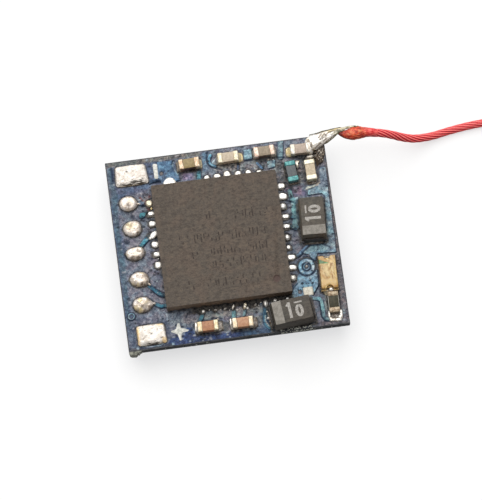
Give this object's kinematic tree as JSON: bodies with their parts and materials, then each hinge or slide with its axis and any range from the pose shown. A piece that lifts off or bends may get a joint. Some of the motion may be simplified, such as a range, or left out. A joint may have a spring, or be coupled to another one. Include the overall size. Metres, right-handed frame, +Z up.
{
  "type": "rc receiver",
  "caption": "Tiny blue radio control receiver board with a square transceiver chip, solder pads along one edge and a red wire antenna.",
  "frame": {"origin": "under the middle of the circuit board, on the surface that the receiver stands on", "axes": "+X along the board's long edge towards the antenna, +Y across the board towards the antenna's edge, +Z up out of the side with the big chip"},
  "size_m": [0.0236, 0.0098, 0.0028],
  "materials": {
    "board_blue": "blue solder mask on glass laminate",
    "copper_plate": "plated copper",
    "copper_under_mask": "copper seen through blue solder mask",
    "white_ink": "printed white ink",
    "tinned_metal": "satin tin plate",
    "solder": "bright solder",
    "moulding_dark": "matt mould compound",
    "wire_red": "red flexible wire insulation",
    "amber_resin": "amber cast resin",
    "cream_laminate": "laminate",
    "gold_plate": "gold flash",
    "ceramic_white": "alumina",
    "resistor_black": "dark glaze",
    "ceramic_grey": "sintered ceramic",
    "crystal_metal": "plated lid",
    "ceramic_tan": "sintered ceramic",
    "ceramic_olive": "sintered ceramic",
    "ceramic_rust": "sintered ceramic",
    "ceramic_blue_grey": "sintered ceramic",
    "inductor_teal": "plated ends with a green tint"
  },
  "bodies": {
    "root": {"antenna_coil": "wire_red", "antenna_solder": "solder", "antenna_strands": "tinned_metal", "antenna_wire": "wire_red", "battery_pad_negative": "solder", "battery_pad_positive": "solder", "capacitor_1_body": "ceramic_olive", "capacitor_1_terminals": "tinned_metal", "capacitor_2_body": "ceramic_tan", "capacitor_2_terminals": "tinned_metal", "capacitor_3_body": "ceramic_tan", "capacitor_3_terminals": "tinned_metal", "capacitor_4_body": "ceramic_tan", "capacitor_4_terminals": "tinned_metal", "capacitor_5_body": "ceramic_tan", "capacitor_5_terminals": "tinned_metal", "capacitor_6_body": "ceramic_rust", "capacitor_6_terminals": "tinned_metal", "capacitor_7_body": "ceramic_rust", "capacitor_7_terminals": "tinned_metal", "circuit_board": "board_blue", "controller_body": "moulding_dark", "controller_leads": "tinned_metal", "copper_bottom": "copper_under_mask", "copper_top": "copper_under_mask", "crystal_lid": "crystal_metal", "crystal_tray": "ceramic_grey", "inductor_body": "ceramic_blue_grey", "inductor_terminals": "inductor_teal", "led_carrier": "cream_laminate", "led_lens": "amber_resin", "led_terminals": "gold_plate", "output_pad_1": "solder", "output_pad_2": "solder", "output_pad_3": "solder", "output_pad_4": "solder", "output_pad_5": "solder", "polarity_marks": "white_ink", "regulator_body": "moulding_dark", "regulator_leads": "tinned_metal", "resistor_body": "ceramic_white", "resistor_coating": "resistor_black", "resistor_terminals": "tinned_metal", "solder_joints": "solder", "tantalum_1_body": "moulding_dark", "tantalum_1_terminals": "tinned_metal", "tantalum_2_body": "moulding_dark", "tantalum_2_terminals": "tinned_metal", "tinned_test_pad": "solder", "transceiver_body": "moulding_dark", "transceiver_centre_pad": "tinned_metal", "transceiver_leads": "tinned_metal", "transceiver_solder": "solder", "under_capacitor_bodies": "ceramic_tan", "under_capacitor_terminals": "tinned_metal", "under_solder": "solder", "via_barrels": "copper_plate"}
  },
  "joints": []
}
